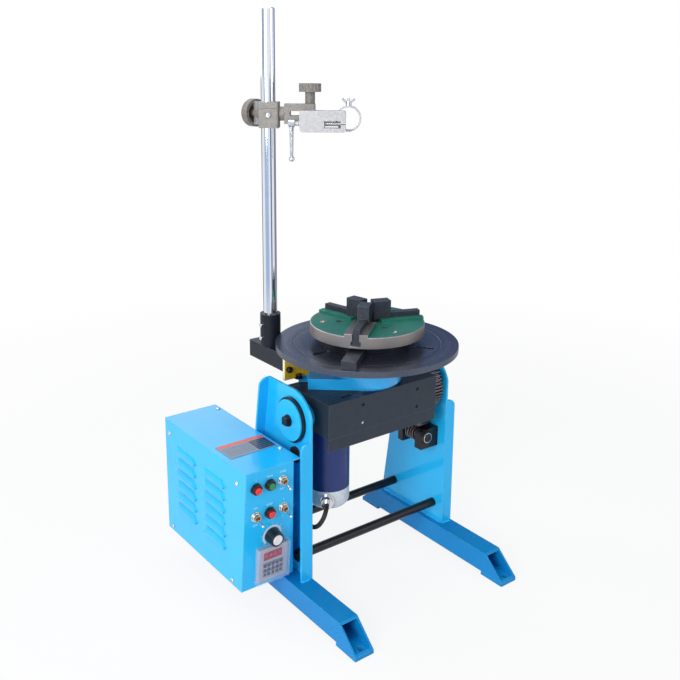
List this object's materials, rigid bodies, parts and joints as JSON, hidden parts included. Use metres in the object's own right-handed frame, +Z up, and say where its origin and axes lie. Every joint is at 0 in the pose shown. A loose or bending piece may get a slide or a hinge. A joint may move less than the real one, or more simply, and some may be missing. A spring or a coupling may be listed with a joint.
{
  "type": "welding positioner",
  "caption": "Bench welding positioner: tilting cradle with a motor-driven round table and three-jaw chuck, side control box, and a pole with a clamp for the torch.",
  "frame": {"origin": "middle of the bounding box's footprint, on the floor", "axes": "+Z up, +X from the control box towards the worm drive, +Y to the rear, the operator stands at -Y"},
  "size_m": [0.4578, 0.448, 0.989],
  "materials": {
    "blue_paint": "glossy powder coat",
    "anthracite_paint": "satin powder coat",
    "black_steel": "black oxide",
    "machined_steel": "turned bare steel",
    "table_steel": "turned, oiled",
    "chuck_iron": "machined rim, green painted face",
    "navy_motor": "satin paint",
    "cast_alloy": "bead blasted",
    "bright_plating": "bright plated",
    "zinc_yellow": "yellow zinc plating",
    "grey_casting": "phosphated",
    "black_rubber": "matt",
    "black_plastic": "matt",
    "white_plastic": "gloss",
    "red_plastic": "gloss",
    "green_plastic": "gloss",
    "timer_grey": "satin",
    "clear_cover": "clear acrylic",
    "label_film": "printed film, blank",
    "board_green": "circuit board"
  },
  "bodies": {
    "base": {"foot_left": "blue_paint", "foot_right": "blue_paint", "foot_pads": "blue_paint", "side_plate_left": "blue_paint", "side_plate_right": "blue_paint", "tie_rods": "black_steel", "tie_rod_nuts": "black_steel", "cable_grommet": "black_rubber", "hub_ring": "black_steel", "worm_bracket": "black_steel", "box_chassis": "blue_paint", "box_cover": "blue_paint", "cover_screws": "bright_plating", "label_plate": "label_film", "button_collars": "black_plastic", "toggle_bushings": "bright_plating", "dial_ring": "white_plastic", "timer_body": "timer_grey", "circuit_board": "board_green"},
    "cradle": {"cradle_shell": "anthracite_paint", "trunnion_left": "blue_paint", "hub_bolt": "black_steel", "tilt_wheel": "machined_steel", "spindle_housing": "blue_paint", "gearmotor": "navy_motor", "motor_cap": "cast_alloy", "cable_connector": "bright_plating", "motor_cable": "black_rubber", "stand_bracket": "zinc_yellow", "stand_arm": "black_steel", "pole_sleeve": "black_steel", "sleeve_screws": "bright_plating", "stand_pole": "bright_plating"},
    "worm": {"worm_shaft": "machined_steel"},
    "idler": {"idler_gear": "machined_steel"},
    "table": {"table_spindle": "machined_steel", "work_table": "table_steel", "locating_bar": "black_steel", "chuck_adapter": "black_steel", "chuck_body": "chuck_iron"},
    "jaw_a": {"jaw_1": "black_steel"},
    "jaw_b": {"jaw_2": "black_steel"},
    "jaw_c": {"jaw_3": "black_steel"},
    "power_button": {"button_power": "red_plastic"},
    "run_button": {"button_run": "green_plastic"},
    "stop_button": {"button_stop": "red_plastic"},
    "toggle_a": {"toggle_lever_1": "bright_plating"},
    "toggle_b": {"toggle_lever_2": "bright_plating"},
    "toggle_c": {"toggle_lever_3": "bright_plating"},
    "knob": {"speed_knob": "black_plastic", "speed_knob_cap": "white_plastic"},
    "timer_door": {"timer_cover": "clear_cover"},
    "clamp_slider": {"clamp_block": "grey_casting"},
    "clamp_hand_knob": {"clamp_knob": "grey_casting"},
    "arm": {"torch_arm": "grey_casting"},
    "arm_hand_knob": {"arm_knob": "grey_casting"},
    "holder": {"torch_holder": "grey_casting", "holder_strap": "grey_casting"},
    "lever": {"holder_lever": "bright_plating"},
    "wing": {"wing_nut": "bright_plating"}
  },
  "joints": [
    {"name": "tilt", "type": "hinge", "parent": "base", "child": "cradle", "pos_m": [0.0551, -0.007, 0.3174], "axis": [1, 0, 0], "range_deg": [0, 90], "deforming": ["motor_cable"]},
    {"name": "idler_turn", "type": "hinge", "parent": "base", "child": "idler", "pos_m": [0.0551, -0.007, 0.2514], "axis": [1, 0, 0], "range_deg": [-241, 1]},
    {"name": "worm_turn", "type": "hinge", "parent": "base", "child": "worm", "pos_m": [0.1751, -0.007, 0.2214], "axis": [0, 1, 0], "range_deg": [-1, 4321]},
    {"name": "table_turn", "type": "hinge", "parent": "cradle", "child": "table", "pos_m": [0.0551, -0.007, 0.4245], "axis": [0, 0, 1], "continuous": true},
    {"name": "jaw_a_slide", "type": "slide", "parent": "table", "child": "jaw_a", "axis": [-0.766, -0.6428, 0], "range_m": [-0.0025, 0.034]},
    {"name": "jaw_b_slide", "type": "slide", "parent": "table", "child": "jaw_b", "axis": [0.9397, -0.342, 0], "range_m": [-0.0025, 0.034]},
    {"name": "jaw_c_slide", "type": "slide", "parent": "table", "child": "jaw_c", "axis": [-0.1736, 0.9848, 0], "range_m": [-0.0025, 0.034]},
    {"name": "power_button_press", "type": "slide", "parent": "base", "child": "power_button", "axis": [0, 0.9954, 0.0963], "range_m": [0, 0.0025], "stiffness_N_per_m": 600},
    {"name": "run_button_press", "type": "slide", "parent": "base", "child": "run_button", "axis": [0, 0.9954, 0.0963], "range_m": [0, 0.0025], "stiffness_N_per_m": 600},
    {"name": "stop_button_press", "type": "slide", "parent": "base", "child": "stop_button", "axis": [0, 0.9954, 0.0963], "range_m": [0, 0.0025], "stiffness_N_per_m": 600},
    {"name": "toggle_a_flip", "type": "hinge", "parent": "base", "child": "toggle_a", "pos_m": [-0.1549, -0.05411, 0.24213], "axis": [1, 0, 0], "range_deg": [-24, 0]},
    {"name": "toggle_b_flip", "type": "hinge", "parent": "base", "child": "toggle_b", "pos_m": [-0.2039, -0.0491, 0.19037], "axis": [1, 0, 0], "range_deg": [-24, 0]},
    {"name": "toggle_c_flip", "type": "hinge", "parent": "base", "child": "toggle_c", "pos_m": [-0.1509, -0.0491, 0.19037], "axis": [1, 0, 0], "range_deg": [-24, 0]},
    {"name": "speed_knob_turn", "type": "hinge", "parent": "base", "child": "knob", "pos_m": [-0.1709, -0.04477, 0.14558], "axis": [0, -0.9954, -0.0963], "range_deg": [-280, 0]},
    {"name": "timer_cover_open", "type": "hinge", "parent": "base", "child": "timer_door", "pos_m": [-0.2004, -0.04025, 0.09578], "axis": [0, -0.0963, 0.9954], "range_deg": [-90, 0]},
    {"name": "clamp_slide", "type": "slide", "parent": "cradle", "child": "clamp_slider", "axis": [0, 0, 1], "range_m": [-0.25, 0.14]},
    {"name": "clamp_knob_turn", "type": "hinge", "parent": "clamp_slider", "child": "clamp_hand_knob", "pos_m": [-0.0489, 0.14299, 0.814], "axis": [-0.1564, 0.9877, 0], "continuous": true},
    {"name": "arm_swivel", "type": "hinge", "parent": "clamp_slider", "child": "arm", "pos_m": [-0.0489, 0.14299, 0.814], "axis": [0.7771, -0.6293, 0], "range_deg": [-90, 90]},
    {"name": "arm_knob_turn", "type": "hinge", "parent": "arm", "child": "arm_hand_knob", "pos_m": [0.00706, 0.09768, 0.84], "axis": [0, 0, 1], "continuous": true},
    {"name": "holder_tilt", "type": "hinge", "parent": "arm", "child": "holder", "pos_m": [-0.00227, 0.10523, 0.815], "axis": [0.6293, 0.7771, 0], "range_deg": [-30, 30]},
    {"name": "lever_swing", "type": "hinge", "parent": "holder", "child": "lever", "pos_m": [-0.03092, 0.09846, 0.799], "axis": [0.7771, -0.6293, 0], "range_deg": [-100, 5]},
    {"name": "wing_nut_turn", "type": "hinge", "parent": "holder", "child": "wing", "pos_m": [0.05564, 0.05281, 0.829], "axis": [0, 0, 1], "continuous": true}
  ],
  "couplings": [
    {"joint": "idler_turn", "follows": "tilt", "ratio": -2.6667},
    {"joint": "worm_turn", "follows": "tilt", "ratio": 48},
    {"joint": "jaw_b_slide", "follows": "jaw_a_slide", "ratio": 1},
    {"joint": "jaw_c_slide", "follows": "jaw_a_slide", "ratio": 1}
  ]
}
